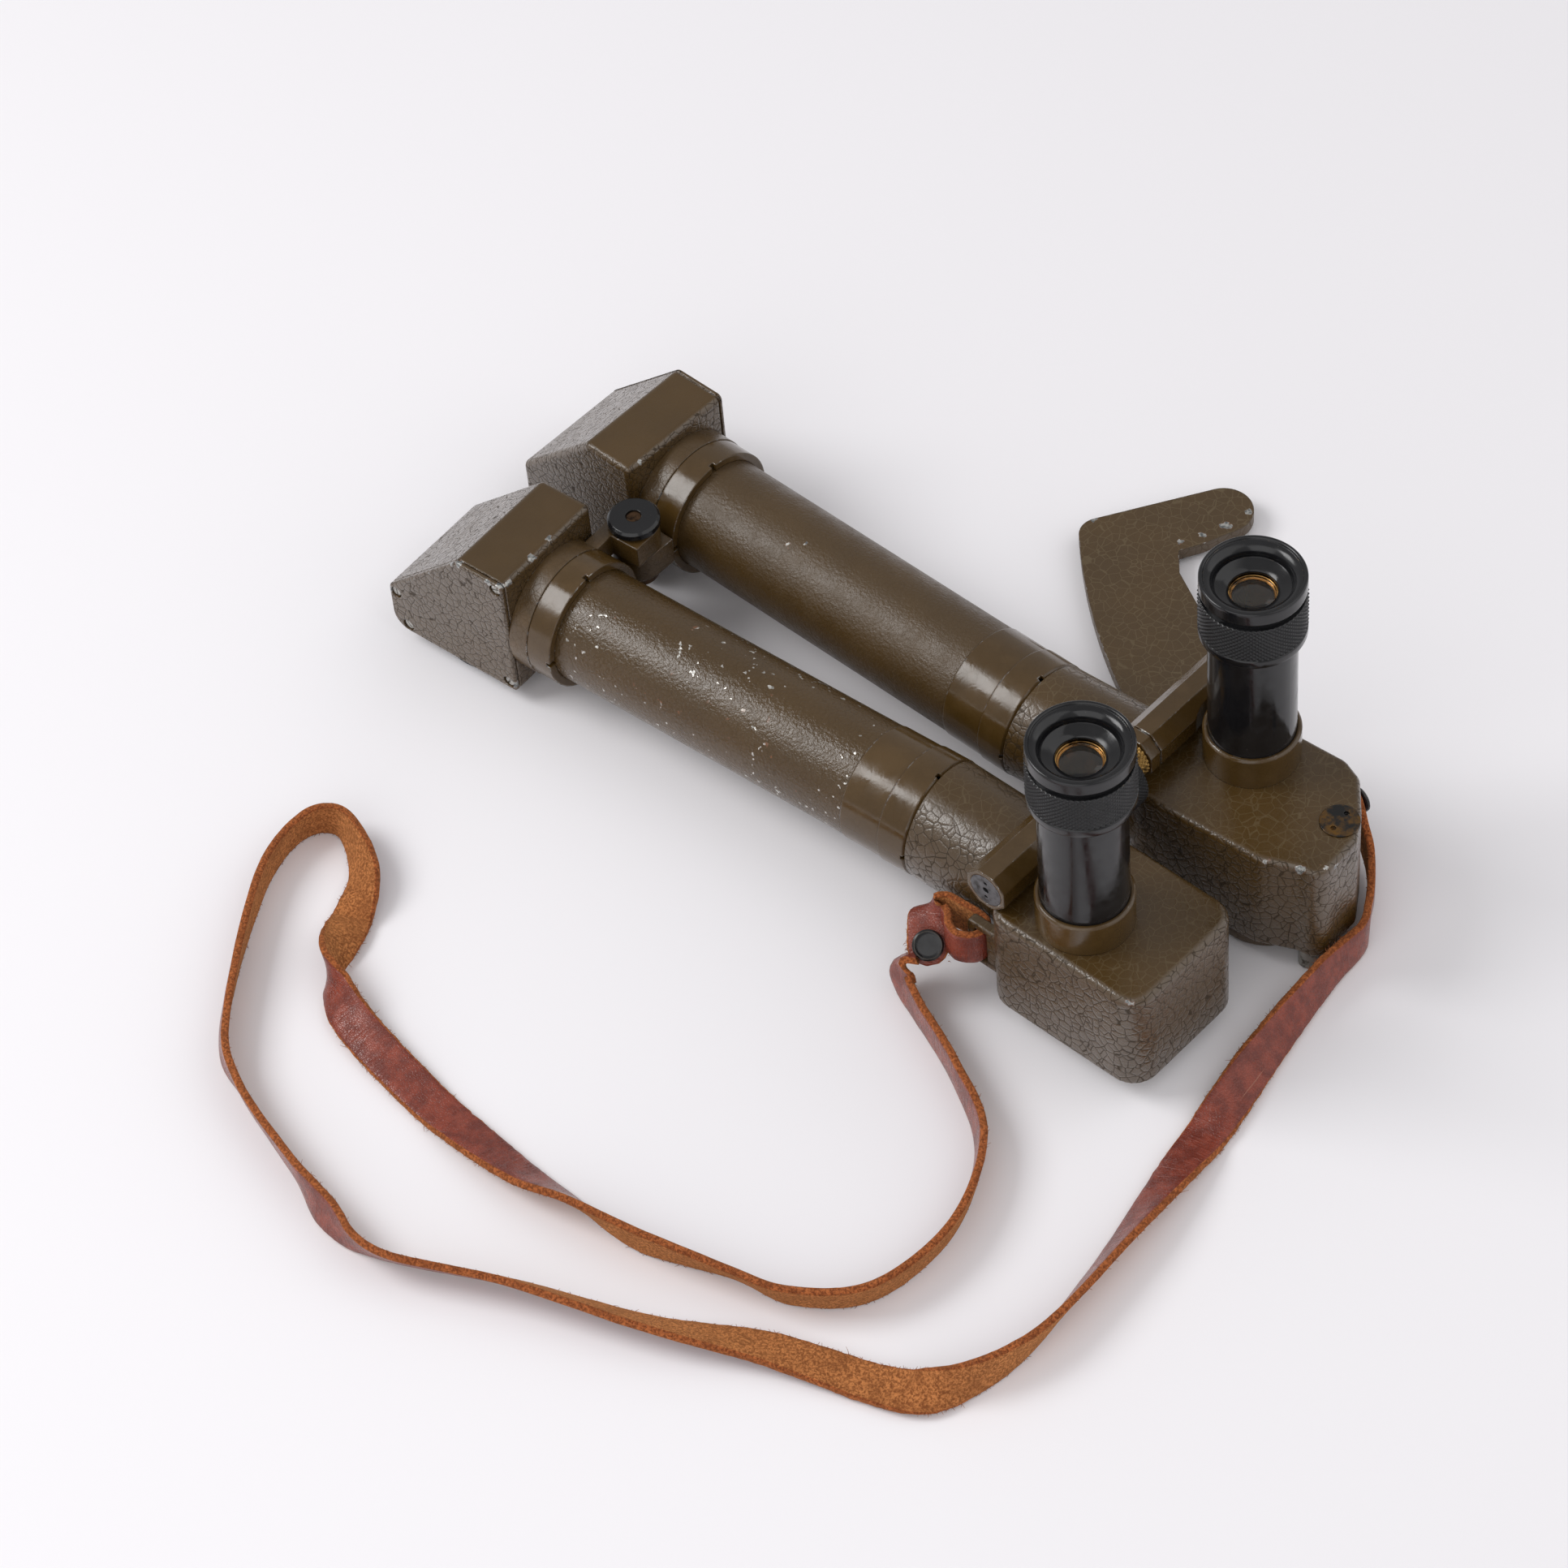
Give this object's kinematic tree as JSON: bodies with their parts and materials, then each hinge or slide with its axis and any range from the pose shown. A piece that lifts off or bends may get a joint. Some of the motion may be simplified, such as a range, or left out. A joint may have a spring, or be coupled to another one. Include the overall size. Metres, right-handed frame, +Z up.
{
  "type": "scissors periscope",
  "caption": "Folded twin-telescope periscope with angled heads, a hinge for eye spacing, focusing eyepieces, a swivelling hook plate and a leather neck strap.",
  "frame": {"origin": "centre of the left objective bezel's front face, on the plane that the instrument lies on", "axes": "+X along the left tube towards the eyepieces, +Z up along the left objective's axis, +Y towards the right telescope"},
  "size_m": [0.2727, 0.3197, 0.1018],
  "materials": {
    "olive_paint": "satin olive-brown crackle enamel with chipped edges",
    "black_enamel": "satin black, worn",
    "bare_steel": "turned, tarnished",
    "brass": "tarnished",
    "optical_glass": "polished",
    "strap_leather": "red-brown grain side, suede flesh side"
  },
  "bodies": {
    "left_telescope": {"left_objective_bezel": "black_enamel", "left_objective_lens": "optical_glass", "left_head": "olive_paint", "left_head_cover": "olive_paint", "left_cover_screws": "bare_steel", "left_roof_prism": "optical_glass", "left_hinge_collar": "olive_paint", "left_lock_ring": "olive_paint", "left_tube": "olive_paint", "left_tube_band": "olive_paint", "left_joint_ring": "olive_paint", "left_housing": "olive_paint", "left_prisms": "optical_glass", "left_base_cover": "olive_paint", "left_eyepiece_collar": "olive_paint", "left_eyepiece_tube": "black_enamel", "left_strap_loop": "strap_leather", "left_strap_snap": "black_enamel", "hinge_pin": "bare_steel", "hinge_washer": "brass", "bridge_bar": "olive_paint", "bridge_end_cap": "bare_steel", "strap": "strap_leather"},
    "right_telescope": {"right_objective_bezel": "black_enamel", "right_objective_lens": "optical_glass", "right_head": "olive_paint", "right_head_cover": "olive_paint", "right_cover_screws": "bare_steel", "right_roof_prism": "optical_glass", "right_hinge_collar": "olive_paint", "right_lock_ring": "olive_paint", "right_tube": "olive_paint", "right_tube_band": "olive_paint", "right_joint_ring": "olive_paint", "right_housing": "olive_paint", "right_prisms": "optical_glass", "right_base_cover": "olive_paint", "right_eyepiece_collar": "olive_paint", "right_eyepiece_tube": "black_enamel", "right_strap_loop": "strap_leather", "right_strap_snap": "black_enamel", "bridge_drive_pin": "bare_steel", "hook_pivot_screw": "bare_steel", "support_pin": "bare_steel", "brass_plug": "brass"},
    "clamp_knob": {"hinge_knob": "black_enamel"},
    "sliding_block": {"bridge_block": "olive_paint"},
    "adjusting_screw": {"bridge_spindle": "bare_steel", "bridge_wheel": "black_enamel", "bridge_bush": "brass"},
    "left_eye_slide": {"left_eye_cell": "black_enamel", "left_eye_lenses": "optical_glass"},
    "left_focus": {"left_focus_ring": "black_enamel", "left_eyecup": "black_enamel"},
    "right_eye_slide": {"right_eye_cell": "black_enamel", "right_eye_lenses": "optical_glass"},
    "right_focus": {"right_focus_ring": "black_enamel", "right_eyecup": "black_enamel"},
    "hook": {"hook_plate": "olive_paint"}
  },
  "joints": [
    {"name": "ipd_hinge", "type": "hinge", "parent": "left_telescope", "child": "right_telescope", "pos_m": [0.0279, 0.0246, 0.028], "axis": [0, 0, 1], "range_deg": [-1, 2]},
    {"name": "bridge_slide", "type": "slide", "parent": "left_telescope", "child": "sliding_block", "axis": [0.071, 0.9975, 0], "range_m": [-0.0028, 0.0055]},
    {"name": "wheel_turn", "type": "hinge", "parent": "sliding_block", "child": "adjusting_screw", "pos_m": [0.18206, 0.02484, 0.0441], "axis": [0.071, 0.9975, 0], "range_deg": [-82, 163]},
    {"name": "knob_turn", "type": "hinge", "parent": "left_telescope", "child": "clamp_knob", "pos_m": [0.0279, 0.0246, 0.036], "axis": [0, 0, 1], "range_deg": [0, 180]},
    {"name": "left_focus_travel", "type": "slide", "parent": "left_telescope", "child": "left_eye_slide", "axis": [0, 0, 1], "range_m": [-0.00083, 0.00166]},
    {"name": "left_focus_turn", "type": "hinge", "parent": "left_eye_slide", "child": "left_focus", "pos_m": [0.19959, -0.01481, 0.09], "axis": [0, 0, 1], "range_deg": [-100, 200]},
    {"name": "right_focus_travel", "type": "slide", "parent": "right_telescope", "child": "right_eye_slide", "axis": [0, 0, 1], "range_m": [-0.00083, 0.00166]},
    {"name": "right_focus_turn", "type": "hinge", "parent": "right_eye_slide", "child": "right_focus", "pos_m": [0.20219, 0.05011, 0.09], "axis": [0, 0, 1], "range_deg": [-100, 200]},
    {"name": "hook_swivel", "type": "hinge", "parent": "right_telescope", "child": "hook", "pos_m": [0.21548, 0.03809, 0.004], "axis": [0, 0, 1], "range_deg": [-30, 45]}
  ],
  "couplings": [
    {"joint": "bridge_slide", "follows": "ipd_hinge", "m_per_rad": 0.1537},
    {"joint": "wheel_turn", "follows": "ipd_hinge", "ratio": 80.5},
    {"joint": "left_focus_turn", "follows": "left_focus_travel", "rad_per_m": 2094.4},
    {"joint": "right_focus_turn", "follows": "right_focus_travel", "rad_per_m": 2094.4}
  ]
}
